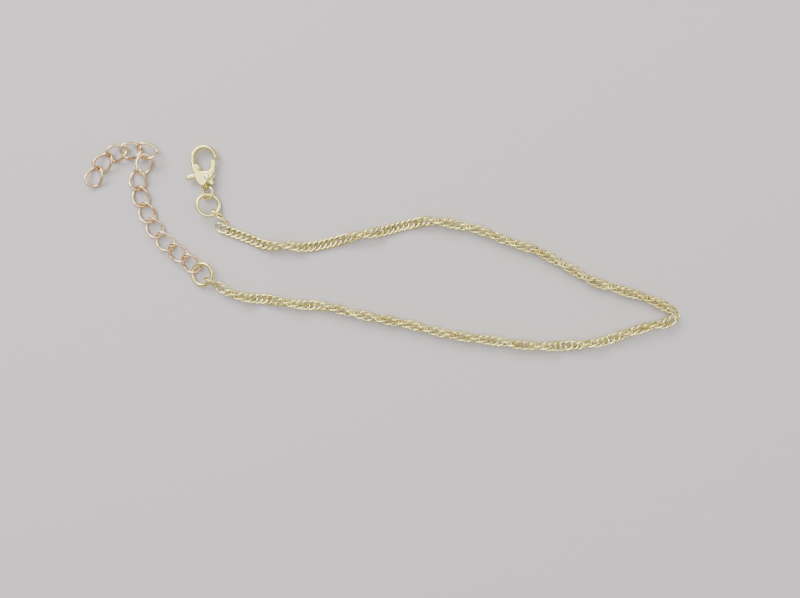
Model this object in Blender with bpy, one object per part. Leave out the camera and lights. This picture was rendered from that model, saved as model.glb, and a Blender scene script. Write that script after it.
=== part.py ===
"""Chain anklet lying unfastened on a surface.

A lobster clasp, a jump ring, a twisted double-curb chain, a second jump ring and an extender of thirteen
curb links. X is the anklet's long direction, Z is up, the surface is at Z = 0, and the origin is under the
middle of the whole. All lengths below are in millimetres and are turned to metres where objects are made.
"""

import math

import bmesh
import bpy
import numpy as np
from mathutils import Euler

MM = 0.001

# Places below are read from the photo, where the line of sight to a thing meets the surface. The camera stands
# straight above this point, at this height.
CAMERA_OVER = (3.9, -11.1)
CAMERA_HEIGHT = 150.0

# Chain: oval links, each twisted like a curb link, that lie in a flat ribbon which turns on itself
CHAIN_WIRE = 0.42
CHAIN_LINK_LENGTH = 3.4
CHAIN_LINK_WIDTH = 2.4
CHAIN_LINK_TWIST = -0.42
RIBBON_WIDTH = CHAIN_LINK_WIDTH
RIBBON_THICKNESS = 1.0
RIBBON_POINTS = 80
RIBBON_SIDES = 12

# Where the ribbon stands on edge, as lengths along the chain from the clasp end: it turns half round at each
EDGE_ON = (16.2, 33.6, 50.7, 58.0, 63.1, 68.0, 74.0, 80.0, 86.0, 92.4, 100.2, 107.0, 113.8, 119.6,
           129.3, 140.0, 146.7, 154.2, 160.2, 165.6, 171.0, 176.5, 182.0, 187.0, 196.9, 208.9)
HALF_TURN_LENGTH = 8.0

# Route of the ribbon's middle, from the clasp end round the far bend to the extender end
ROUTE = (
    (-37.2, 5.4), (-34.7, 4.2), (-30.1, 2.5), (-25.8, 0.8), (-21.4, 0.7), (-16.1, 0.5), (-10.7, 1.6),
    (-5.4, 3.0), (-0.1, 3.9), (5.2, 5.3), (10.6, 6.2), (16.0, 5.5), (21.9, 4.1), (28.1, 1.7), (34.3, -0.4),
    (40.7, -3.7), (46.8, -7.1), (52.9, -9.1), (58.7, -10.9), (63.2, -13.0), (65.1, -14.8), (63.2, -16.4),
    (59.3, -17.2), (53.9, -18.9), (48.6, -20.6), (43.3, -21.3), (37.2, -21.6), (31.0, -21.3), (24.8, -20.4),
    (18.6, -19.6), (12.3, -18.4), (6.1, -16.8), (-0.1, -15.6), (-6.3, -14.3), (-12.6, -12.8),
    (-18.8, -12.3), (-25.0, -11.3), (-30.8, -10.7), (-34.5, -9.4), (-36.5, -8.2),
)

# The chain's end links, standing on edge: x, y, heading and roll in degrees
CHAIN_END_LINKS = (
    ("chain_link_01", -36.8, 7.8, -42, 75),
    ("chain_link_02", -35.5, 6.65, -44, 95),
    ("chain_link_03", -38.2, -7.2, -32, 75),
)

# Jump rings of round wire: centre x, y, z, lean in degrees, and the direction that the ring leans down to
RING_DIAMETER = 5.56
RING_WIRE = 0.80
JUMP_RINGS = (
    ("clasp_ring", -38.7, 9.75, 1.42, 20, 20),
    ("extender_ring", -40.07, -5.64, 1.05, 15, 200),
)

# Extender: curb links, each with its middle, heading, roll, pitch and lift off the surface
EXTENDER_WIRE = 0.60
EXTENDER_LINK_LENGTH = 5.15
EXTENDER_LINK_WIDTH = 4.0
EXTENDER_LINK_TWIST = -0.30
EXTENDER_LINKS = (
    # x, y, heading, roll, pitch, lift
    (-42.5, -3.3, 139, 0, 0, 0.0),
    (-45.5, -0.9, 139, 0, 0, 0.0),
    (-48.4, 1.6, 134, 0, 0, 0.0),
    (-50.7, 4.6, 124, 0, 0, 0.0),
    (-52.4, 8.0, 114, 0, 0, 0.0),
    (-53.8, 11.6, 106, 0, 0, 0.0),
    (-54.4, 15.35, 92, 0, 0, 0.0),
    (-53.3, 18.6, 68, 46, 0, 0.0),
    (-52.4, 21.6, 160, 0, -8, 0.4),
    (-55.8, 21.8, 184, 0, 0, 0.0),
    (-58.9, 21.4, 198, 0, 0, 0.0),
    (-61.9, 19.3, 224, 0, 0, 0.0),
    (-63.95, 16.15, 240, 0, 0, 0.0),
)

# Clasp, in a frame whose origin is under its pin, with Y towards the hook's top
PIN_AT = (-38.7, 15.8)
CLASP_THICKNESS = 2.4
CLASP_ROUNDING = 0.3
SLOT_WIDTH = 1.1
LEVER_THICKNESS = 0.9
PIN_RADIUS = 0.45
PIN_PLAY = 0.05
LEVER_PLAY = 0.09
HOOK_CENTRE = (-0.88, 4.1)
HOOK_RADII = (2.52, 2.71)
HOOK_FLATNESS = 1.6
EYE_AT = (-0.13, -3.33, 1.2)
EYE_RADIUS = 1.3
EYE_WIRE = 0.6
EYE_ROLL = -24

# The hook's bar: angle round its centre from the tip to the root, and half its width there
HOOK_SWEEP = (1, 90, 180, 236)
HOOK_HALF_WIDTHS = (0.54, 0.46, 0.50, 0.66)

# The neck between the cheeks and the eye: x, y, z and half its width
NECK_FLATNESS = 1.2
NECK = (
    (-0.75, -0.60, 1.20, 0.75),
    (-0.85, -1.30, 1.20, 0.68),
    (-0.95, -1.90, 1.05, 0.50),
    (-1.02, -2.45, 0.80, 0.32),
)

CHEEK_OUTLINE = (
    (-2.6, 2.3), (-2.0, 1.65), (-1.3, 1.32), (-0.5, 1.22), (0.3, 1.35), (0.95, 1.25), (1.28, 0.75),
    (1.12, 0.2), (0.65, -0.25), (0.2, -0.65), (-0.15, -1.15), (-0.45, -1.65), (-1.1, -1.85), (-1.7, -1.7),
    (-2.2, -1.15), (-2.6, -0.5), (-2.85, 0.2), (-3.0, 1.0), (-3.3, 1.8), (-3.35, 2.5), (-3.0, 2.8),
)
LEVER_OUTLINE = (
    (1.3, 0.5), (1.42, 1.6), (1.6, 2.6), (1.62, 3.4), (1.05, 3.8), (0.45, 3.65), (0.38, 2.6), (0.1, 1.7),
    (-0.6, 1.05), (-2.0, 0.9), (-3.2, 0.92), (-4.0, 0.75), (-4.6, 0.3), (-4.8, -0.15), (-4.45, -0.5),
    (-4.05, -0.35), (-3.5, -0.18), (-2.6, -0.3), (-1.2, -0.65), (-0.3, -0.85), (0.2, -1.4), (0.8, -1.65),
    (1.35, -1.3), (1.35, -0.6), (1.15, -0.1),
)
SLOT_OUTLINE = (
    (2.6, -0.9), (2.6, 2.6), (-1.7, 2.6), (-1.9, 1.1), (-5.4, 1.1), (-5.4, -2.6), (-2.9, -2.1), (-1.75, -1.5),
    (-0.9, -1.15), (-0.3, -1.12), (0.1, -2.2), (2.6, -2.2),
)


def clear_scene():
    for old in list(bpy.data.objects):
        bpy.data.objects.remove(old, do_unlink=True)


def new_collection(name):
    group = bpy.data.collections.new(name)
    bpy.context.scene.collection.children.link(group)
    return group


def seen_at(x, y, height):
    """Place of a thing at a height, when the line of sight to it meets the surface at x, y."""
    share = height / CAMERA_HEIGHT
    return x + (CAMERA_OVER[0] - x) * share, y + (CAMERA_OVER[1] - y) * share


def metal(name, colour, roughness):
    material = bpy.data.materials.new(name)
    material.use_nodes = True
    shader = material.node_tree.nodes["Principled BSDF"]
    shader.inputs["Base Color"].default_value = (*colour, 1.0)
    shader.inputs["Metallic"].default_value = 1.0
    shader.inputs["Roughness"].default_value = roughness
    return material


def add_object(name, data, group, material=None):
    thing = bpy.data.objects.new(name, data)
    group.objects.link(thing)
    if material and not data.materials:
        data.materials.append(material)
    return thing


def wire_curve(name, points, thickness, closed, sides=6):
    """A round wire along the given points in millimetres; four plus two per resolution step are its sides."""
    curve = bpy.data.curves.new(name, "CURVE")
    curve.dimensions = "3D"
    curve.bevel_depth = thickness / 2 * MM
    curve.bevel_resolution = (sides - 4) // 2
    curve.use_fill_caps = not closed
    spline = curve.splines.new("POLY")
    spline.points.add(len(points) - 1)
    for knot, point in zip(spline.points, points):
        knot.co = (*(np.asarray(point) * MM), 1.0)
    spline.use_cyclic_u = closed
    return curve


def curb_points(length, width, wire, twist, count):
    """The wire's middle in a curb link: an oval whose height is the product of x and y, times the twist."""
    angle = np.linspace(0, 2 * math.pi, count, endpoint=False)
    x = (length - wire) / 2 * np.cos(angle)
    y = (width - wire) / 2 * np.sin(angle)
    return np.column_stack((x, y, twist * x * y))


def lay_link(link, points, wire, x, y, heading, roll, pitch=0.0, lift=0.0):
    """Turn a link and set it down at x, y so that its lowest wire is the given lift above the surface."""
    turn = Euler((math.radians(roll), math.radians(-pitch), math.radians(heading)))
    lowest = min((points @ np.array(turn.to_matrix()).T)[:, 2])
    height = lift + wire / 2 - lowest
    x, y = seen_at(x, y, height)
    link.rotation_euler = turn
    link.location = (x * MM, y * MM, height * MM)


def make_extender(group, material):
    points = curb_points(EXTENDER_LINK_LENGTH, EXTENDER_LINK_WIDTH, EXTENDER_WIRE, EXTENDER_LINK_TWIST, 16)
    shape = wire_curve("extender_link", points, EXTENDER_WIRE, closed=True)
    for number, (x, y, heading, roll, pitch, lift) in enumerate(EXTENDER_LINKS, start=1):
        link = add_object(f"extender_link_{number:02d}", shape, group, material)
        lay_link(link, points, EXTENDER_WIRE, x, y, heading, roll, pitch, lift)


def make_chain_end_links(group, material):
    points = curb_points(CHAIN_LINK_LENGTH, CHAIN_LINK_WIDTH, CHAIN_WIRE, CHAIN_LINK_TWIST, 14)
    shape = wire_curve("chain_link", points, CHAIN_WIRE, closed=True)
    for name, x, y, heading, roll in CHAIN_END_LINKS:
        link = add_object(name, shape, group, material)
        lay_link(link, points, CHAIN_WIRE, x, y, heading, roll)


def make_jump_rings(group, material):
    radius = (RING_DIAMETER - RING_WIRE) / 2
    angle = np.linspace(0, 2 * math.pi, 20, endpoint=False)
    points = np.column_stack((radius * np.cos(angle), radius * np.sin(angle), 0 * angle))
    shape = wire_curve("jump_ring", points, RING_WIRE, closed=True, sides=8)
    for name, x, y, z, lean, towards in JUMP_RINGS:
        ring = add_object(name, shape, group, material)
        x, y = seen_at(x, y, z)
        ring.rotation_euler = (0, math.radians(lean), math.radians(towards))
        ring.location = (x * MM, y * MM, z * MM)


def smooth_route(knots, count):
    """Evenly spaced points on the Catmull-Rom curve through the knots."""
    knots = np.asarray(knots)
    ends = np.vstack((2 * knots[0] - knots[1], knots, 2 * knots[-1] - knots[-2]))
    share = np.linspace(0, 1, 12, endpoint=False)[:, None]
    spans = []
    for a, b, c, d in zip(ends, ends[1:], ends[2:], ends[3:]):
        spans.append(0.5 * (2 * b + (c - a) * share + (2 * a - 5 * b + 4 * c - d) * share ** 2
                            + (3 * b - a - 3 * c + d) * share ** 3))
    fine = np.vstack((*spans, knots[-1:]))
    length = np.concatenate(([0], np.cumsum(np.linalg.norm(np.diff(fine, axis=0), axis=1))))
    along = np.linspace(0, length[-1], count)
    return along, np.column_stack([np.interp(along, length, fine[:, axis]) for axis in (0, 1)])


def ribbon_turn(along):
    """The ribbon's turn in radians: half round at each place where it stands on edge, and flat between."""
    turn = np.zeros_like(along)
    for place in EDGE_ON:
        share = np.clip((along - place) / HALF_TURN_LENGTH + 0.5, 0, 1)
        turn += math.pi * share * share * (3 - 2 * share)
    return turn


def ribbon_height(turn):
    """Height of the ribbon's middle: what its widest nearby stretch needs to clear the surface."""
    half = (RIBBON_WIDTH * abs(np.sin(turn)) + RIBBON_THICKNESS * abs(np.cos(turn))) / 2
    reach = np.max([np.roll(half, step) for step in (-1, 0, 1)], axis=0)
    return np.convolve(np.pad(reach, 1, mode="edge"), (0.25, 0.5, 0.25), mode="valid")


def make_main_chain(group, guides, material):
    along, middle = smooth_route(ROUTE, RIBBON_POINTS)
    turn = ribbon_turn(along)
    height = np.maximum(ribbon_height(turn), RIBBON_THICKNESS / 2)
    path = np.column_stack((*seen_at(*middle.T, height), height))

    angle = np.linspace(0, 2 * math.pi, RIBBON_SIDES, endpoint=False)
    oval = np.column_stack((RIBBON_WIDTH / 2 * np.cos(angle), RIBBON_THICKNESS / 2 * np.sin(angle), 0 * angle))
    section = wire_curve("ribbon_section", oval, 0.0, closed=True)
    section.dimensions = "2D"
    section_object = add_object("ribbon_section", section, guides)

    ribbon = wire_curve("main_chain", path, 0.0, closed=False)
    ribbon.bevel_mode = "OBJECT"
    ribbon.bevel_object = section_object
    ribbon.twist_mode = "Z_UP"
    for knot, tilt in zip(ribbon.splines[0].points, turn):
        knot.tilt = tilt
    chain = mesh_of(add_object("main_chain", ribbon, group), group)
    chain.data.materials.append(material)
    chain.data.shade_smooth()


def mesh_of(thing, group):
    """Replace a curve object by its mesh, with the caps welded to the walls."""
    bpy.context.view_layer.update()
    graph = bpy.context.evaluated_depsgraph_get()
    mesh = bpy.data.meshes.new_from_object(thing.evaluated_get(graph))
    work = bmesh.new()
    work.from_mesh(mesh)
    bmesh.ops.remove_doubles(work, verts=work.verts, dist=1e-7)
    bmesh.ops.recalc_face_normals(work, faces=work.faces)
    work.to_mesh(mesh)
    work.free()
    name = thing.name
    place = thing.matrix_world.copy()
    bpy.data.objects.remove(thing, do_unlink=True)
    solid = add_object(name, mesh, group)
    solid.matrix_world = place
    return solid


def plate(name, outline, bottom, top, rounding, group, smooth=True):
    """A flat piece cut to an outline, with rounded edges, between two heights."""
    curve = bpy.data.curves.new(name, "CURVE")
    curve.dimensions = "2D"
    curve.fill_mode = "BOTH"
    curve.extrude = ((top - bottom) / 2 - rounding) * MM
    curve.bevel_depth = rounding * MM
    curve.bevel_resolution = 1
    curve.offset = -rounding * MM
    curve.resolution_u = 3
    spline = curve.splines.new("BEZIER")
    spline.bezier_points.add(len(outline) - 1)
    for knot, (x, y) in zip(spline.bezier_points, outline):
        knot.co = (x * MM, y * MM, 0)
        knot.handle_left_type = "AUTO" if smooth else "VECTOR"
        knot.handle_right_type = "AUTO" if smooth else "VECTOR"
    spline.use_cyclic_u = True
    piece = add_object(name, curve, group)
    piece.location.z = (top + bottom) / 2 * MM
    return mesh_of(piece, group)


def upright_rod(name, radius, bottom, top, group):
    mesh = bpy.data.meshes.new(name)
    work = bmesh.new()
    bmesh.ops.create_cone(work, cap_ends=True, segments=20, radius1=radius * MM, radius2=radius * MM,
                          depth=(top - bottom) * MM)
    work.to_mesh(mesh)
    work.free()
    rod = add_object(name, mesh, group)
    rod.location.z = (top + bottom) / 2 * MM
    return rod


def swept_oval(name, path, half_widths, flatness, group, guides):
    """A round-edged bar along a flat path, whose section is taller than wide and follows the half widths."""
    angle = np.linspace(0, 2 * math.pi, 12, endpoint=False)
    section = wire_curve(name + "_section", np.column_stack((np.cos(angle), flatness * np.sin(angle), 0 * angle)),
                         0.0, closed=True)
    section.dimensions = "2D"
    bar = wire_curve(name, path, 0.0, closed=False)
    bar.bevel_mode = "OBJECT"
    bar.bevel_object = add_object(name + "_section", section, guides)
    bar.twist_mode = "Z_UP"
    for knot, half in zip(bar.splines[0].points, half_widths):
        knot.radius = half
    return mesh_of(add_object(name, bar, group), group)


def combine(base, other, operation):
    step = base.modifiers.new(other.name, "BOOLEAN")
    step.operation = operation
    step.solver = "EXACT"
    step.object = other


def make_clasp(group, guides, gold):
    middle = CLASP_THICKNESS / 2

    sweep = np.linspace(HOOK_SWEEP[0], HOOK_SWEEP[-1], 20)
    half_widths = np.interp(sweep, HOOK_SWEEP, HOOK_HALF_WIDTHS)
    angle = np.radians(sweep)
    path = np.column_stack((HOOK_CENTRE[0] + HOOK_RADII[0] * np.cos(angle),
                            HOOK_CENTRE[1] + HOOK_RADII[1] * np.sin(angle), np.full_like(angle, middle)))
    hook = swept_oval("clasp_hook", path, half_widths, HOOK_FLATNESS, guides, guides)

    neck_table = np.array(NECK)
    neck = swept_oval("clasp_neck", neck_table[:, :3], neck_table[:, 3], NECK_FLATNESS, guides, guides)

    bpy.ops.mesh.primitive_torus_add(major_radius=EYE_RADIUS * MM, minor_radius=EYE_WIRE / 2 * MM,
                                     major_segments=24, minor_segments=10)
    eye = bpy.context.object
    eye.name = "clasp_eye"
    eye.location = [length * MM for length in EYE_AT]
    eye.rotation_euler.y = math.radians(EYE_ROLL)
    for owner in list(eye.users_collection):
        owner.objects.unlink(eye)
    guides.objects.link(eye)

    slot_half = SLOT_WIDTH / 2
    slot = plate("lever_slot", SLOT_OUTLINE, middle - slot_half, middle + slot_half, 0.0, guides, smooth=False)
    pin_hole = upright_rod("pin_hole", PIN_RADIUS + PIN_PLAY, -1, CLASP_THICKNESS + 1, guides)
    lever_hole = upright_rod("lever_hole", PIN_RADIUS + LEVER_PLAY, -1, CLASP_THICKNESS + 1, guides)

    body = plate("clasp_body", CHEEK_OUTLINE, 0.0, CLASP_THICKNESS, CLASP_ROUNDING, group)
    for piece in (hook, neck, eye):
        combine(body, piece, "UNION")
    for cutter in (slot, pin_hole):
        combine(body, cutter, "DIFFERENCE")

    lever_half = LEVER_THICKNESS / 2
    lever = plate("clasp_lever", LEVER_OUTLINE, middle - lever_half, middle + lever_half, 0.2, group)
    combine(lever, lever_hole, "DIFFERENCE")

    pin = upright_rod("clasp_pin", PIN_RADIUS, 0.1, CLASP_THICKNESS - 0.1, group)

    frame = bpy.data.objects.new("clasp_frame", None)
    group.objects.link(frame)
    x, y = seen_at(*PIN_AT, middle)
    frame.location = (x * MM, y * MM, 0)
    for piece in (body, lever, pin, hook, neck, eye, slot, pin_hole, lever_hole):
        piece.parent = frame
    for piece in (body, lever, pin):
        piece.data.materials.append(gold)
        piece.data.shade_smooth()
        piece.data.set_sharp_from_angle(angle=math.radians(40))


def main():
    clear_scene()
    anklet = new_collection("chain_anklet")
    guides = new_collection("guides_and_cutters")
    pale_gold = metal("pale_gold", (0.86, 0.76, 0.36), 0.22)
    warm_gold = metal("warm_gold", (0.80, 0.58, 0.36), 0.25)
    make_clasp(anklet, guides, pale_gold)
    make_jump_rings(anklet, pale_gold)
    make_chain_end_links(anklet, pale_gold)
    make_main_chain(anklet, guides, pale_gold)
    make_extender(anklet, warm_gold)
    for guide in guides.objects:
        guide.hide_render = True
        guide.display_type = "WIRE"


main()
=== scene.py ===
"""Looks of the chain anklet: a Blender add-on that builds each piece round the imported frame.

The anklet is gold-plated brass: a lobster clasp, two jump rings, a twisted double-curb chain of fine links and an
extender of curb links, lying unfastened on a pale floor. Lengths are in metres, apart from the clasp's tables,
which are in millimetres.
"""

import math

import bmesh
import bpy
import numpy as np
from bpy.props import FloatProperty, FloatVectorProperty, PointerProperty
from bpy.types import Operator, Panel, PropertyGroup
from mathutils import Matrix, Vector


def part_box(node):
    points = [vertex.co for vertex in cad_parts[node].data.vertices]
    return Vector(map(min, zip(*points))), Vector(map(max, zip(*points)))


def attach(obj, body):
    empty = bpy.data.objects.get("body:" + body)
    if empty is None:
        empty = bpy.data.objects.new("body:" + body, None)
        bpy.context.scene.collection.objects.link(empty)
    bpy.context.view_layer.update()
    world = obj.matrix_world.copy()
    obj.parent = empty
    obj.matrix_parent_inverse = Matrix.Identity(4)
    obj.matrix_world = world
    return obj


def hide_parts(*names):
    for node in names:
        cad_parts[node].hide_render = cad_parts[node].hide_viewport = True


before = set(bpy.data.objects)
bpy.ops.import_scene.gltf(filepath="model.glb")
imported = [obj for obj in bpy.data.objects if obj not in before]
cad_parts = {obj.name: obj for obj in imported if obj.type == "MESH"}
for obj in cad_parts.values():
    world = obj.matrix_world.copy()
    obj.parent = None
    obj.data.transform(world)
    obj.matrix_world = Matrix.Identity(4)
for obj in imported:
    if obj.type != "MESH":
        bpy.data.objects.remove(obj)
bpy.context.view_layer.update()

bl_info = {
    "name": "Chain anklet",
    "version": (1, 0, 0),
    "blender": (4, 5, 0),
    "location": "3D View > Sidebar > Anklet",
    "description": "Builds a twisted curb chain anklet with its lobster clasp and extender",
    "category": "Add Mesh",
}

MM = 0.001
ANKLET = "anklet"
LEVER = "lever"

# Photograph: its size in pixels, its scale over the floor, and the pixel that lies at the model's X and Y
# zero
PHOTO_WIDTH = 800
PHOTO_HEIGHT = 598
PIXELS_PER_MM = 4.5
ORIGIN_PIXEL = (382.5, 249.0)

# The camera stands straight above this point of the floor. Places of the route are where the line of sight
# to a thing meets the floor.
CAMERA_OVER = np.array(((PHOTO_WIDTH / 2 - ORIGIN_PIXEL[0]) / PIXELS_PER_MM * MM,
                        (ORIGIN_PIXEL[1] - PHOTO_HEIGHT / 2) / PIXELS_PER_MM * MM))
CAMERA_HEIGHT = 150 * MM

# Chain: where the ribbon stands on edge, as lengths along it from the clasp end, and the length of each
# half turn
EDGE_ON = np.array((16.2, 33.6, 50.7, 58.0, 63.1, 68.0, 74.0, 80.0, 86.0, 92.4, 100.2, 107.0, 113.8, 119.6,
                    129.3, 140.0, 146.7, 154.2, 160.2, 165.6, 171.0, 176.5, 182.0, 187.0, 196.9, 208.9)) * MM
HALF_TURN_LENGTH = 8.0 * MM

# Route of the ribbon's middle over the floor, from the clasp end round the far bend to the extender end
ROUTE = np.array((
    (-37.2, 5.4), (-34.7, 4.2), (-30.1, 2.5), (-25.8, 0.8), (-21.4, 0.7), (-16.1, 0.5), (-10.7, 1.6),
    (-5.4, 3.0), (-0.1, 3.9), (5.2, 5.3), (10.6, 6.2), (16.0, 5.5), (21.9, 4.1), (28.1, 1.7), (34.3, -0.4),
    (40.7, -3.7), (46.8, -7.1), (52.9, -9.1), (58.7, -10.9), (63.2, -13.0), (65.1, -14.8), (63.2, -16.4),
    (59.3, -17.2), (53.9, -18.9), (48.6, -20.6), (43.3, -21.3), (37.2, -21.6), (31.0, -21.3), (24.8, -20.4),
    (18.6, -19.6), (12.3, -18.4), (6.1, -16.8), (-0.1, -15.6), (-6.3, -14.3), (-12.6, -12.8),
    (-18.8, -12.3), (-25.0, -11.3), (-30.8, -10.7), (-34.5, -9.4), (-36.5, -8.2),
)) * MM

# How far the last link reaches past the end of the route, to hold the link on the extender's ring
LAST_LINK_REACH = 1.1 * MM

EXTENDER_LINKS = 13
CHAIN_END_LINKS = 3

# Clasp, in millimetres from the pin's middle on the floor, with Y towards the top of the hook
HOOK_CENTRE = (-0.88, 4.1)
HOOK_RADII = (2.52, 2.71)
HOOK_FLATNESS = 1.6
EYE_MIDDLE = (-0.13, -3.33, 1.2)
EYE_RADIUS = 1.3
EYE_WIRE = 0.6
EYE_ROLL = -24

# The hook's bar: angle round its centre from the tip to the root, and half its width there
HOOK_ANGLES = (1, 6, 90, 180, 236)
HOOK_HALF_WIDTHS = (0.40, 0.53, 0.46, 0.50, 0.66)

# Outlines that spread from a middle point: the cheeks either side of the lever, and the bridge that joins
# them
CHEEK_MIDDLE = (-1.0, 0.0)
CHEEK_OUTLINE = (
    (-2.6, 2.3), (-2.0, 1.65), (-1.3, 1.32), (-0.5, 1.22), (0.3, 1.35), (0.95, 1.25), (1.28, 0.75),
    (1.12, 0.2), (0.65, -0.25), (0.2, -0.65), (-0.15, -1.15), (-0.45, -1.65), (-1.1, -1.85), (-1.7, -1.7),
    (-2.2, -1.15), (-2.6, -0.5), (-2.85, 0.2), (-3.0, 1.0), (-3.3, 1.8), (-3.35, 2.5), (-3.0, 2.8),
)
BRIDGE_MIDDLE = (-2.55, 1.9)
BRIDGE_OUTLINE = ((-1.95, 1.2), (-1.78, 1.7), (-1.75, 2.2), (-2.05, 2.75), (-2.6, 2.85), (-3.2, 2.7),
                  (-3.35, 2.1), (-3.1, 1.25))

# Bars with a rounded section: x, y, z, half the width and half the height, from one end to the other
NECK = (
    (-0.80, -1.35, 1.20, 0.66, 0.95),
    (-0.90, -1.80, 1.15, 0.50, 0.75),
    (-1.02, -2.30, 0.90, 0.36, 0.50),
    (-1.05, -2.65, 0.72, 0.28, 0.32),
)
LEVER_THUMB_ARM = (
    (-0.72, 0.18, 1.20, 0.80, 0.45),
    (-1.60, 0.24, 1.20, 0.74, 0.45),
    (-2.60, 0.30, 1.20, 0.62, 0.45),
    (-3.60, 0.30, 1.20, 0.54, 0.45),
    (-4.25, 0.06, 1.20, 0.50, 0.44),
    (-4.65, -0.14, 1.20, 0.38, 0.36),
    (-4.80, -0.22, 1.20, 0.16, 0.16),
)
LEVER_GATE_ARM = (
    (0.34, 0.70, 1.20, 0.84, 0.45),
    (0.74, 1.40, 1.20, 0.72, 0.45),
    (0.95, 2.20, 1.20, 0.63, 0.45),
    (1.03, 3.00, 1.20, 0.60, 0.45),
    (1.03, 3.60, 1.20, 0.56, 0.44),
    (1.00, 3.82, 1.20, 0.42, 0.36),
)
LEVER_HEEL = (
    (0.42, -0.62, 1.20, 0.58, 0.45),
    (0.72, -1.05, 1.20, 0.60, 0.45),
    (0.88, -1.35, 1.20, 0.48, 0.42),
    (0.96, -1.52, 1.20, 0.26, 0.30),
)

# Lever's hub, a ring round the rivet: radius of the middle of its wall, and half the wall
HUB_RADIUS = 0.80
HUB_HALF_WALL = 0.26

# Rivet's two ends: radius as a share of the shank's, and height, over the floor at its foot and over the
# upper cheek at its head
RIVET_FOOT = ((0.0, 0.06), (0.8, 0.06), (1.0, 0.12))
RIVET_HEAD = ((1.0, 0.0), (1.3, 0.02), (1.25, 0.12), (0.8, 0.21), (0.0, 0.24))

# Rounded edge of a plate: how far out it is, as a share, and how far it drops, as a share of the thickness
PLATE_EDGE = np.array(((0.96, 0.05), (0.99, 0.14), (1.0, 0.28)))
PLATE_FLAT = np.linspace(0, 0.9, 10)

# Smoothing steps over a cast part's skin
POLISH_STEPS = 6

# Spacing of the samples along the route, and how far off a wide stretch of ribbon still lifts it
ROUTE_STEP = 0.1 * MM
LIFT_REACH = 1.8 * MM

# Size of the patterns in the finishes
PATCH_WIDTH = 4 * MM
SPOT_WIDTH = 1.6 * MM
POLISHING_MARK = 0.15 * MM
PAPER_TOOTH = 0.5 * MM

# Numbers of a colour Mix node's two colour inputs and its colour output
COLOUR_A, COLOUR_B, COLOUR_OUT = 6, 7, 2

# Room: rise of a line of sight one long to where the room is darkest and to where it is brightest, and the
# strength of its light there
HORIZON_HEIGHT = 0.12
OVERHEAD_HEIGHT = 0.8
HORIZON_LIGHT = 0.06
OVERHEAD_LIGHT = 0.8

# Area lights: name, place, width and height, watts and colour
LIGHTS = (
    ("window", (-0.35, 0.50, 0.45), (0.60, 0.35), 9.0, (1.0, 0.98, 0.95)),
    ("softbox", (0.0, 0.0, 0.80), (1.00, 1.00), 7.0, (1.0, 1.0, 1.0)),
    ("strip", (0.60, 0.25, 0.40), (0.15, 0.60), 1.5, (1.0, 0.98, 0.95)),
)


def linear(code):
    """Linear red, green and blue of an sRGB hex colour."""
    shade = np.array([int(code[at:at + 2], 16) for at in (0, 2, 4)]) / 255
    return tuple(np.where(shade <= 0.04045, shade / 12.92, ((shade + 0.055) / 1.055) ** 2.4))


class ChainSizes(PropertyGroup):
    """The fine double-curb chain, in which each link passes through the two before it."""
    wire: FloatProperty(name="Wire", description="Thickness of a link's wire", default=0.42 * MM,
                        unit="LENGTH")
    length: FloatProperty(name="Link length", description="Outside length", default=3.4 * MM, unit="LENGTH")
    width: FloatProperty(name="Link width", description="Outside width", default=2.4 * MM, unit="LENGTH")
    rise: FloatProperty(name="Link rise", description="How far a link's corners bend up and down",
                        default=0.315 * MM, unit="LENGTH")
    pitch: FloatProperty(name="Pitch", description="Length of chain for each link", default=1.18 * MM,
                         unit="LENGTH")
    grind: FloatProperty(name="Ground faces",
                         description="Height of the ribbon's ground faces over its middle",
                         default=0.44 * MM, unit="LENGTH")


class ExtenderSizes(PropertyGroup):
    """The extender's curb links and the two jump rings."""
    wire: FloatProperty(name="Wire", description="Thickness of a link's wire", default=0.60 * MM,
                        unit="LENGTH")
    length: FloatProperty(name="Link length", description="Outside length", default=5.15 * MM, unit="LENGTH")
    width: FloatProperty(name="Link width", description="Outside width", default=4.0 * MM, unit="LENGTH")
    rise: FloatProperty(name="Link rise", description="How far a link's corners bend up and down",
                        default=0.58 * MM, unit="LENGTH")
    ring_wire: FloatProperty(name="Ring wire", description="Thickness of the jump rings' wire",
                             default=0.80 * MM, unit="LENGTH")
    ring_diameter: FloatProperty(name="Ring diameter", description="Outside diameter of the jump rings",
                                 default=5.56 * MM, unit="LENGTH")
    ring_cut: FloatProperty(name="Ring cut", description="Gap between a jump ring's two ends",
                            default=0.05 * MM, unit="LENGTH")


class ClaspSizes(PropertyGroup):
    """The lobster clasp."""
    thickness: FloatProperty(name="Thickness", description="Thickness over both cheeks", default=2.4 * MM,
                             unit="LENGTH")
    slot: FloatProperty(name="Slot", description="Width of the lever's slot", default=1.1 * MM, unit="LENGTH")
    lever: FloatProperty(name="Lever", description="Thickness of the lever", default=0.9 * MM, unit="LENGTH")
    pin: FloatProperty(name="Pin", description="Diameter of the rivet", default=0.9 * MM, unit="LENGTH")
    crown: FloatProperty(name="Crown", description="How far the cheeks swell in the middle",
                         default=0.14 * MM, unit="LENGTH")
    grain: FloatProperty(name="Casting detail",
                         description="Edge of the cells that the cast parts are made with",
                         default=0.055 * MM, unit="LENGTH")


class Finish(PropertyGroup):
    """Colours of the plating and the floor."""
    pale: FloatVectorProperty(name="Pale gold", description="Plating of the chain, rings and clasp",
                              subtype="COLOR", size=3, default=linear("F6EDA0"))
    warm: FloatVectorProperty(name="Warm gold", description="Plating of the extender", subtype="COLOR",
                              size=3, default=linear("F2DAA8"))
    floor: FloatVectorProperty(name="Floor", description="Colour of the floor", subtype="COLOR", size=3,
                               default=linear("B4AFB0"))


def unit(vectors):
    """Vectors of length one."""
    return vectors / np.linalg.norm(vectors, axis=-1, keepdims=True)


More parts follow.
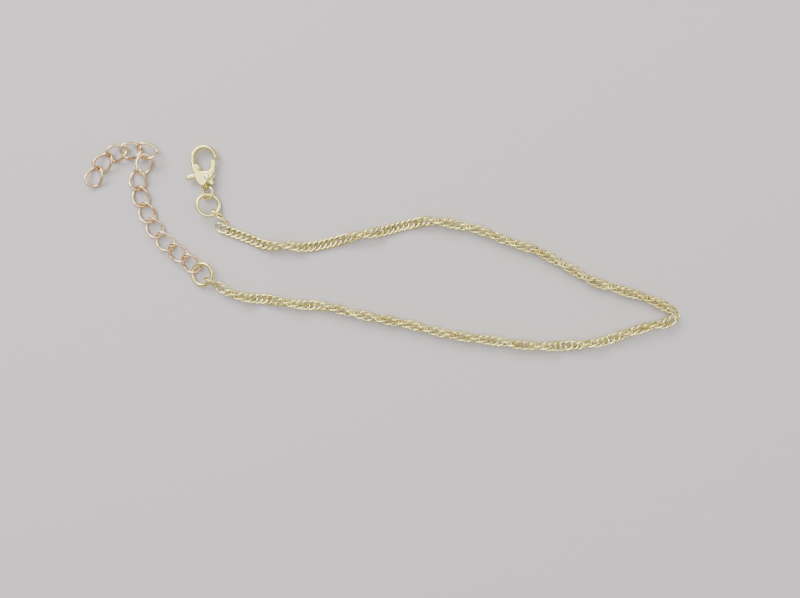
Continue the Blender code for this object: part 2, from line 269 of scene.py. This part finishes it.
def carried(path, outward, across, up, sides, closed, squareness=1.0):
    """An oval carried along a path: half its width lies along the outward direction, turned square to the
    path, and half its height along the third direction. A squareness under 1 fills out the oval's
    corners."""
    if closed:
        tangent = unit(np.roll(path, -1, axis=-2) - np.roll(path, 1, axis=-2))
    else:
        tangent = unit(np.gradient(path, axis=-2))
    side = unit(outward - np.sum(outward * tangent, axis=-1, keepdims=True) * tangent)
    third = np.cross(tangent, side)
    angle = np.linspace(0, 2 * math.pi, sides, endpoint=False)
    cosine = np.sign(np.cos(angle)) * abs(np.cos(angle)) ** squareness
    sine = np.sign(np.sin(angle)) * abs(np.sin(angle)) ** squareness
    across = np.broadcast_to(across, path.shape[:-1])[..., None, None]
    up = np.broadcast_to(up, path.shape[:-1])[..., None, None]
    ring = across * cosine[:, None] * side[..., None, :] + up * sine[:, None] * third[..., None, :]
    return path[..., None, :] + ring


def capped(grid):
    """Close a bar's two ends with a point in the middle of each."""
    ends = [np.broadcast_to(grid[at].mean(axis=0), grid[at].shape)[None] for at in (0, -1)]
    return np.concatenate((ends[0], grid, ends[1]))


def bar(table, sides=24):
    """A bar with a filled-out oval section carried along a smooth curve through the table's points, whose
    half width and half height follow the table too. Its ends are flat."""
    line = smooth_route(np.array(table), steps=8)[0]
    path = line[:, :3]
    along = np.gradient(path, axis=0)
    outward = np.cross(along, (0.0, 0.0, 1.0))
    return capped(carried(path, outward, line[:, 3], line[:, 4], sides, closed=False, squareness=0.75))


def slab(outline, middle, bottom, top, crown):
    """A plate with rounded edges that spreads from a middle point to an outline. Its upper and lower faces
    swell by the crown, as one less the square of the distance out."""
    edge = smooth_route(np.array((*outline, outline[0])), steps=8)[0][:-1] - middle
    out = np.concatenate((PLATE_FLAT, PLATE_EDGE[:, 0]))
    rounding = np.concatenate((np.zeros(len(PLATE_FLAT)), PLATE_EDGE[:, 1]))
    swell = crown * (1 - out ** 2) - rounding * (top - bottom)
    share = np.concatenate((out, out[::-1]))
    height = np.concatenate((bottom - swell, (top + swell)[::-1]))
    flat = share[:, None, None] * edge + middle
    return np.concatenate((flat, np.broadcast_to(height[:, None, None], (*flat.shape[:2], 1))), axis=-1)


def fused(name, shapes, cell, place):
    """Join closed shapes given in millimetres into one skin of small cells, smooth it, and set it in its
    place."""
    work = bmesh.new()
    for grid, closed in shapes:
        shape = grid_mesh(name, grid[None], closed)
        work.from_mesh(shape)
        bpy.data.meshes.remove(shape)
    bmesh.ops.recalc_face_normals(work, faces=work.faces)
    rough = bpy.data.meshes.new(name)
    work.to_mesh(rough)
    work.free()
    holder = bpy.data.objects.new(name, rough)
    bpy.context.scene.collection.objects.link(holder)
    skin = holder.modifiers.new("skin", "REMESH")
    skin.mode = "VOXEL"
    skin.voxel_size = cell / MM
    polish = holder.modifiers.new("polish", "SMOOTH")
    polish.iterations = POLISH_STEPS
    bpy.context.view_layer.update()
    mesh = bpy.data.meshes.new_from_object(holder.evaluated_get(bpy.context.evaluated_depsgraph_get()))
    bpy.data.objects.remove(holder)
    bpy.data.meshes.remove(rough)
    points = np.empty(len(mesh.vertices) * 3)
    mesh.vertices.foreach_get("co", points)
    mesh.vertices.foreach_set("co", (points.reshape(-1, 3) * MM + place).ravel())
    mesh.name = name
    mesh.shade_smooth()
    return mesh


def grid_mesh(name, grid, closed):
    """Mesh of one or more grids of points, shaped (grids, along, around, 3). Each closes round itself, and
    where told also from its last row to its first. Rows drawn to a point are merged into one."""
    grids, along, around = grid.shape[:3]
    index = np.arange(grids * along * around).reshape(grids, along, around)
    here = index if closed else index[:, :-1]
    ahead = np.roll(index, -1, axis=1) if closed else index[:, 1:]
    corners = (here, np.roll(here, -1, axis=2), np.roll(ahead, -1, axis=2), ahead)
    faces = np.stack(corners, axis=-1).reshape(-1, 4)
    mesh = bpy.data.meshes.new(name)
    mesh.from_pydata(grid.reshape(-1, 3), [], faces)
    if not closed:
        weld(mesh)
    mesh.shade_smooth()
    return mesh


def weld(mesh, distance=1e-8):
    """Merge points that coincide."""
    work = bmesh.new()
    work.from_mesh(mesh)
    bmesh.ops.remove_doubles(work, verts=work.verts, dist=distance)
    work.to_mesh(mesh)
    work.free()


def add_piece(mesh, material, slot, body, *nodes):
    """Put a finished mesh in the scene, riding on a body and standing for CAD nodes."""
    piece = bpy.data.objects.new(mesh.name, mesh)
    bpy.context.scene.collection.objects.link(piece)
    mesh.materials.clear()
    mesh.materials.append(material)
    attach(piece, body)
    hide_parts(*nodes)
    return piece


def node_axes(node):
    """Middle of a CAD node and its long, middle and short directions, from its points' spread."""
    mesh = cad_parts[node].data
    points = np.empty(len(mesh.vertices) * 3)
    mesh.vertices.foreach_get("co", points)
    points = points.reshape(-1, 3)
    points = np.unique(points.round(7), axis=0)
    middle = (points.max(axis=0) + points.min(axis=0)) / 2
    spread = np.linalg.eigh(np.cov((points - points.mean(axis=0)).T))[1]
    long, wide = spread[:, 2], spread[:, 1]
    return middle, np.stack((long, wide, np.cross(long, wide)))


def curb_wire(length, width, wire, rise, count):
    """Wire's middle round a curb link: an oval whose height falls by the rise times the sine of twice the
    angle. Also gives the outward direction at each point."""
    angle = np.linspace(0, 2 * math.pi, count, endpoint=False)
    half_length, half_width = (length - wire) / 2, (width - wire) / 2
    path = np.stack((half_length * np.cos(angle), half_width * np.sin(angle), -rise * np.sin(2 * angle)),
                    axis=-1)
    outward = np.stack((np.cos(angle) / half_length, np.sin(angle) / half_width, 0 * angle), axis=-1)
    return path, outward


def smooth_route(knots, steps=24):
    """Catmull-Rom curve through the knots: points, and the length along the curve at each."""
    ends = np.vstack((2 * knots[0] - knots[1], knots, 2 * knots[-1] - knots[-2]))
    a, b, c, d = (ends[start:len(ends) - 3 + start, None] for start in range(4))
    share = np.linspace(0, 1, steps, endpoint=False)[None, :, None]
    spans = 0.5 * (2 * b + (c - a) * share + (2 * a - 5 * b + 4 * c - d) * share ** 2
                   + (3 * b - a - 3 * c + d) * share ** 3)
    fine = np.vstack((spans.reshape(-1, knots.shape[1]), knots[-1:]))
    steps_long = np.linalg.norm(np.diff(fine, axis=0), axis=1)
    return fine, np.concatenate(([0], np.cumsum(steps_long)))


def ribbon_turn(along):
    """The ribbon's turn: half round at each place where it stands on edge, eased in and out, and flat
    between."""
    share = np.clip((along[:, None] - EDGE_ON) / HALF_TURN_LENGTH + 0.5, 0, 1)
    return math.pi * (share * share * (3 - 2 * share)).sum(axis=1)


def ribbon_height(along, turn, width, thickness):
    """Height of the ribbon's middle that keeps its widest stretch nearby clear of the floor, then
    smoothed."""
    half = (width * abs(np.sin(turn)) + thickness * abs(np.cos(turn))) / 2
    reach = round(LIFT_REACH / (along[1] - along[0]))
    window = np.lib.stride_tricks.sliding_window_view(np.pad(half, reach, mode="edge"), 2 * reach + 1)
    bell = np.hanning(2 * reach + 3)[1:-1]
    return np.convolve(np.pad(window.max(axis=1), reach, mode="edge"), bell / bell.sum(), mode="valid")


def ribbon_places(sizes):
    """Middle of each chain link, and its long, wide and thick directions, for evenly spaced links on the
    route."""
    fine, length = smooth_route(ROUTE)
    along = np.arange(0, length[-1], ROUTE_STEP)
    middle = np.stack([np.interp(along, length, fine[:, axis]) for axis in (0, 1)], axis=-1)
    turn = ribbon_turn(along)
    height = ribbon_height(along, turn, sizes.width, 2 * sizes.grind)[:, None]
    middle = np.hstack((middle + (CAMERA_OVER - middle) * height / CAMERA_HEIGHT, height))
    ahead = unit(np.gradient(middle, axis=0))
    left = unit(np.cross((0.0, 0.0, 1.0), ahead))
    up = np.cross(ahead, left)
    wide = np.cos(turn)[:, None] * left + np.sin(turn)[:, None] * up

    first, last = sizes.length / 2, along[-1] - sizes.length / 2 + LAST_LINK_REACH
    links = round((last - first) / sizes.pitch) + 1
    at = np.round(np.linspace(first, last, links) / along[1]).astype(int)
    axes = np.stack((ahead[at], wide[at], np.cross(ahead[at], wide[at])), axis=1)
    return middle[at], axes


class ANKLET_OT_chain(Operator):
    """Add the twisted double-curb chain"""
    bl_idname = "anklet.chain"
    bl_label = "Chain"

    def execute(self, context):
        sizes = context.scene.anklet_chain
        path, outward = curb_wire(sizes.length, sizes.width, sizes.wire, sizes.rise, 16)
        link = carried(path, outward, sizes.wire / 2, sizes.wire / 2, 6, closed=True)
        link[..., 2] = np.clip(link[..., 2], -sizes.grind, sizes.grind)
        middle, axes = ribbon_places(sizes)
        chain = middle[:, None, None] + np.einsum("sak,lkc->lsac", link, axes)
        mesh = grid_mesh("twisted_curb_chain", chain, closed=True)
        add_piece(mesh, bpy.data.materials["pale_gold_plate"], "pale_gold", ANKLET, "main_chain")
        return {"FINISHED"}


class ANKLET_OT_end_links(Operator):
    """Add the loose links at the chain's two ends"""
    bl_idname = "anklet.end_links"
    bl_label = "Chain's end links"

    def execute(self, context):
        sizes = context.scene.anklet_chain
        path, outward = curb_wire(sizes.length, sizes.width, sizes.wire, sizes.rise, 36)
        link = carried(path, outward, sizes.wire / 2, sizes.wire / 2, 12, closed=True)
        for number in range(1, CHAIN_END_LINKS + 1):
            node = f"chain_link_{number:02d}"
            middle, axes = node_axes(node)
            mesh = grid_mesh(f"end_link_{number:02d}", (middle + link @ axes)[None], closed=True)
            add_piece(mesh, bpy.data.materials["pale_gold_plate"], "pale_gold", ANKLET, node)
        return {"FINISHED"}


class ANKLET_OT_extender(Operator):
    """Add the extender's curb links"""
    bl_idname = "anklet.extender"
    bl_label = "Extender"

    def execute(self, context):
        sizes = context.scene.anklet_extender
        path, outward = curb_wire(sizes.length, sizes.width, sizes.wire, sizes.rise, 64)
        link = carried(path, outward, sizes.wire / 2, sizes.wire / 2, 16, closed=True)
        for number in range(1, EXTENDER_LINKS + 1):
            node = f"extender_link_{number:02d}"
            middle, axes = node_axes(node)
            mesh = grid_mesh(f"curb_link_{number:02d}", (middle + link @ axes)[None], closed=True)
            add_piece(mesh, bpy.data.materials["warm_gold_plate"], "warm_gold", ANKLET, node)
        return {"FINISHED"}


class ANKLET_OT_rings(Operator):
    """Add the two jump rings, each bent round from wire until its cut ends almost meet"""
    bl_idname = "anklet.rings"
    bl_label = "Jump rings"

    def execute(self, context):
        sizes = context.scene.anklet_extender
        radius = (sizes.ring_diameter - sizes.ring_wire) / 2
        cut = sizes.ring_cut / radius / 2
        angle = np.linspace(cut, 2 * math.pi - cut, 96)
        path = radius * np.stack((np.cos(angle), np.sin(angle), 0 * angle), axis=-1)
        ring = capped(carried(path, path, sizes.ring_wire / 2, sizes.ring_wire / 2, 20, closed=False))
        for name in ("clasp", "extender"):
            node = f"{name}_ring"
            middle, axes = node_axes(node)
            mesh = grid_mesh(f"{name}_jump_ring", (middle + ring @ axes)[None], closed=False)
            add_piece(mesh, bpy.data.materials["pale_gold_plate"], "pale_gold", ANKLET, node)
        return {"FINISHED"}


def ring_path(middle, radius, count, roll=0.0):
    """Circle round a middle point, rolled about the Y axis by an angle in degrees."""
    angle = np.linspace(0, 2 * math.pi, count, endpoint=False)
    lean = math.radians(roll)
    spoke = np.stack((np.cos(angle) * math.cos(lean), np.sin(angle), -np.cos(angle) * math.sin(lean)),
                     axis=-1)
    return np.array(middle) + radius * spoke, spoke


class ANKLET_OT_clasp(Operator):
    """Add the lobster clasp: its casting, its lever and the rivet that the lever turns on"""
    bl_idname = "anklet.clasp"
    bl_label = "Clasp"

    def execute(self, context):
        sizes = context.scene.anklet_clasp
        gold = bpy.data.materials["pale_gold_plate"]
        low, high = (np.array(corner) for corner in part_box("clasp_pin"))
        place = np.array((*(low + high)[:2] / 2, 0.0))
        thickness, slot = sizes.thickness / MM, sizes.slot / MM
        cheek = (thickness - slot) / 2

        sweep = np.linspace(HOOK_ANGLES[0], HOOK_ANGLES[-1], 60)
        half = np.interp(sweep, HOOK_ANGLES, HOOK_HALF_WIDTHS)
        round_hook = np.radians(sweep)
        hook_path = np.stack((HOOK_CENTRE[0] + HOOK_RADII[0] * np.cos(round_hook),
                              HOOK_CENTRE[1] + HOOK_RADII[1] * np.sin(round_hook),
                              np.full_like(sweep, thickness / 2)), axis=-1)
        outward = hook_path - (*HOOK_CENTRE, thickness / 2)
        hook = capped(carried(hook_path, outward, half, HOOK_FLATNESS * half, 28,
                              closed=False, squareness=0.85))
        eye_path, eye_out = ring_path(EYE_MIDDLE, EYE_RADIUS, 48, EYE_ROLL)
        eye = carried(eye_path, eye_out, EYE_WIRE / 2, EYE_WIRE / 2, 16, closed=True)
        crown = sizes.crown / MM
        lower = slab(CHEEK_OUTLINE, CHEEK_MIDDLE, 0.0, cheek, 0.0)
        upper = slab(CHEEK_OUTLINE, CHEEK_MIDDLE, thickness - cheek, thickness, 0.0)
        face = upper[len(upper) // 2:, :, 2]
        face += crown * (1 - np.linspace(1, 0, len(face)) ** 2)[:, None]
        bridge = slab(BRIDGE_OUTLINE, BRIDGE_MIDDLE, 0.1, thickness - 0.1, 0.05)
        casting = fused("clasp_casting", ((hook, False), (lower, False), (upper, False), (bridge, False),
                                          (bar(NECK), False), (eye, True)), sizes.grain, place)
        add_piece(casting, gold, "pale_gold", ANKLET, "clasp_body")

        hub_path, hub_out = ring_path((0.0, 0.0, thickness / 2), HUB_RADIUS, 48)
        hub = carried(hub_path, hub_out, HUB_HALF_WALL, sizes.lever / MM / 2, 16, closed=True, squareness=0.5)
        lever = fused("clasp_thumb_lever", ((hub, True), (bar(LEVER_THUMB_ARM), False),
                                            (bar(LEVER_GATE_ARM), False), (bar(LEVER_HEEL), False)),
                      sizes.grain, place)
        add_piece(lever, gold, "pale_gold", LEVER, "clasp_lever")

        shank = sizes.pin / MM / 2
        profile = np.array((*RIVET_FOOT, *RIVET_HEAD))
        profile[len(RIVET_FOOT):, 1] += thickness
        spoke = ring_path((0.0, 0.0, 0.0), 1.0, 40)[1]
        rivet = profile[:, :1, None] * shank * spoke + profile[:, 1:, None] * (0.0, 0.0, 1.0)
        mesh = grid_mesh("clasp_rivet", (place + rivet * MM)[None], closed=False)
        add_piece(mesh, gold, "pale_gold", ANKLET, "clasp_pin")
        return {"FINISHED"}


def add_node(tree, kind, settings=(), links=()):
    """Add a shader node: settings name its properties, or its inputs by name or number, and links join its
    inputs to other sockets."""
    node = tree.nodes.new(kind)
    for name, value in dict(settings).items():
        if isinstance(name, int) or name in node.inputs:
            node.inputs[name].default_value = value
        else:
            setattr(node, name, value)
    for name, socket in dict(links).items():
        tree.links.new(socket, node.inputs[name])
    return node


def gold_plate(name, colour, shaded, painted_shade_brown, roughness):
    """Brass with a thin flash of gold, barrel-polished: mirror-like and pale, with painted shade mixed in at
    random: a little deeper in patches a few millimetres wide, where a shaded copy of the gold is painted,
    and browner in spots about a link wide, where a brown shaded copy of the gold is painted."""
    material = bpy.data.materials.new(name)
    material.use_nodes = True
    tree = material.node_tree
    shader = tree.nodes["Principled BSDF"]
    place = add_node(tree, "ShaderNodeTexCoord").outputs["Object"]
    patches = add_node(tree, "ShaderNodeTexNoise", {"Scale": 1 / PATCH_WIDTH, "Detail": 3.0}, {"Vector": place})
    patch = add_node(tree, "ShaderNodeMapRange", {"From Min": 0.38, "From Max": 0.66},
                     {"Value": patches.outputs["Fac"]})
    spots = add_node(tree, "ShaderNodeTexNoise", {"Scale": 1 / SPOT_WIDTH, "Detail": 1.0}, {"Vector": place})
    spot = add_node(tree, "ShaderNodeMapRange", {"From Min": 0.66, "From Max": 0.76, "To Max": 0.8},
                    {"Value": spots.outputs["Fac"]})
    # Painted shade: a shaded copy of the gold, painted over the patches
    plating = add_node(tree, "ShaderNodeMix",
                       {"data_type": "RGBA", COLOUR_A: (*colour, 1.0), COLOUR_B: (*shaded, 1.0)},
                       {"Factor": patch.outputs["Result"]})
    # Painted shade: a brown shaded copy of the gold, painted over the spots
    metal = add_node(tree, "ShaderNodeMix", {"data_type": "RGBA", COLOUR_B: (*painted_shade_brown, 1.0)},
                     {"Factor": spot.outputs["Result"], COLOUR_A: plating.outputs[COLOUR_OUT]})
    tree.links.new(metal.outputs[COLOUR_OUT], shader.inputs["Base Color"])

    grain = add_node(tree, "ShaderNodeTexNoise", {"Scale": 1 / POLISHING_MARK, "Detail": 4.0}, {"Vector": place})
    gloss = add_node(tree, "ShaderNodeMapRange", {"To Min": roughness * 0.6, "To Max": roughness * 1.5},
                     {"Value": grain.outputs["Fac"]})
    tree.links.new(gloss.outputs["Result"], shader.inputs["Roughness"])
    bump = add_node(tree, "ShaderNodeBump", {"Strength": 0.2, "Distance": 0.01 * MM},
                    {"Height": grain.outputs["Fac"]})
    tree.links.new(bump.outputs["Normal"], shader.inputs["Normal"])
    shader.inputs["Metallic"].default_value = 1.0
    return material


def floor_paper(colour):
    """Matt background paper: even and pale, with a fine tooth that only takes the shine off it."""
    material = bpy.data.materials.new("background_paper")
    material.use_nodes = True
    tree = material.node_tree
    shader = tree.nodes["Principled BSDF"]
    shader.inputs["Base Color"].default_value = (*colour, 1.0)
    shader.inputs["Roughness"].default_value = 0.9
    place = add_node(tree, "ShaderNodeTexCoord").outputs["Object"]
    tooth = add_node(tree, "ShaderNodeTexNoise", {"Scale": 1 / PAPER_TOOTH, "Detail": 3.0}, {"Vector": place})
    bump = add_node(tree, "ShaderNodeBump", {"Strength": 0.25, "Distance": 0.05 * MM},
                    {"Height": tooth.outputs["Fac"]})
    tree.links.new(bump.outputs["Normal"], shader.inputs["Normal"])
    return material


class ANKLET_OT_finishes(Operator):
    """Make the materials"""
    bl_idname = "anklet.finishes"
    bl_label = "Finishes"

    def execute(self, context):
        finish = context.scene.anklet_finish
        # Each plating's second colour is a shaded copy painted in patches, and its third is a brown shaded copy
        # painted in spots: both are painted shade
        gold_plate("pale_gold_plate", tuple(finish.pale), linear("DFCF7C"), linear("B98A55"), 0.22)
        gold_plate("warm_gold_plate", tuple(finish.warm), linear("D8B684"), linear("B07A52"), 0.24)
        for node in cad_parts.values():
            for at in range(len(node.data.materials)):
                node.data.materials[at] = bpy.data.materials["pale_gold_plate"]
        floor_paper(tuple(finish.floor))
        return {"FINISHED"}


def add_light(name, place, target, size, power, colour):
    light = bpy.data.lights.new(name, "AREA")
    light.shape = "RECTANGLE"
    light.size, light.size_y = size
    light.energy = power
    light.color = colour
    holder = bpy.data.objects.new(name, light)
    holder.location = place
    holder.rotation_euler = (target - place).to_track_quat("-Z", "Y").to_euler()
    bpy.context.scene.collection.objects.link(holder)


class ANKLET_OT_stage(Operator):
    """Add the floor, the camera and the lights"""
    bl_idname = "anklet.stage"
    bl_label = "Stage"

    def execute(self, context):
        scene = context.scene
        centre = Vector((*CAMERA_OVER, 0.0))
        bpy.ops.mesh.primitive_plane_add(size=3.0, location=(0, 0, 0))
        floor = context.object
        floor.name = "floor"
        floor.data.materials.append(bpy.data.materials["background_paper"])

        camera = bpy.data.cameras.new("camera")
        camera.sensor_width = 36.0
        camera.lens = camera.sensor_width * CAMERA_HEIGHT / (PHOTO_WIDTH / PIXELS_PER_MM * MM)
        camera.clip_start = 0.01
        camera.clip_end = 10.0
        holder = bpy.data.objects.new("camera", camera)
        holder.location = centre + Vector((0, 0, CAMERA_HEIGHT))
        scene.collection.objects.link(holder)
        scene.camera = holder

        for name, place, size, power, colour in LIGHTS:
            add_light(name, Vector(place), centre, size, power, colour)

        world = bpy.data.worlds.new("soft_room")
        world.use_nodes = True
        tree = world.node_tree
        view = add_node(tree, "ShaderNodeTexCoord").outputs["Generated"]
        split = add_node(tree, "ShaderNodeSeparateXYZ", links={"Vector": view})
        bright = add_node(tree, "ShaderNodeMapRange",
                          {"From Min": HORIZON_HEIGHT, "From Max": OVERHEAD_HEIGHT,
                           "To Min": HORIZON_LIGHT, "To Max": OVERHEAD_LIGHT},
                          {"Value": split.outputs["Z"]})
        tree.links.new(bright.outputs["Result"], tree.nodes["Background"].inputs["Strength"])
        tree.nodes["Background"].inputs["Color"].default_value = (1.0, 1.0, 1.0, 1.0)
        scene.world = world
        return {"FINISHED"}


class ANKLET_PT_panel(Panel):
    """Lists the anklet's sizes, colours and pieces"""
    bl_label = "Chain anklet"
    bl_space_type = "VIEW_3D"
    bl_region_type = "UI"
    bl_category = "Anklet"

    def draw(self, context):
        for group in GROUPS:
            box = self.layout.box()
            settings = getattr(context.scene, group)
            for name in settings.bl_rna.properties.keys():
                if name not in ("rna_type", "name"):
                    box.prop(settings, name)
        for operator in OPERATORS:
            self.layout.operator(operator.bl_idname)


GROUPS = {
    "anklet_chain": ChainSizes,
    "anklet_extender": ExtenderSizes,
    "anklet_clasp": ClaspSizes,
    "anklet_finish": Finish,
}
OPERATORS = (ANKLET_OT_finishes, ANKLET_OT_chain, ANKLET_OT_end_links, ANKLET_OT_rings, ANKLET_OT_extender,
             ANKLET_OT_clasp, ANKLET_OT_stage)


def register():
    for kind in (*GROUPS.values(), *OPERATORS, ANKLET_PT_panel):
        bpy.utils.register_class(kind)
    for name, kind in GROUPS.items():
        setattr(bpy.types.Scene, name, PointerProperty(type=kind))


def unregister():
    for name in GROUPS:
        delattr(bpy.types.Scene, name)
    for kind in reversed((*GROUPS.values(), *OPERATORS, ANKLET_PT_panel)):
        bpy.utils.unregister_class(kind)


def main():
    register()
    for operator in OPERATORS:
        getattr(bpy.ops.anklet, operator.bl_idname.split(".")[1])()


if __name__ == "__main__":
    main()
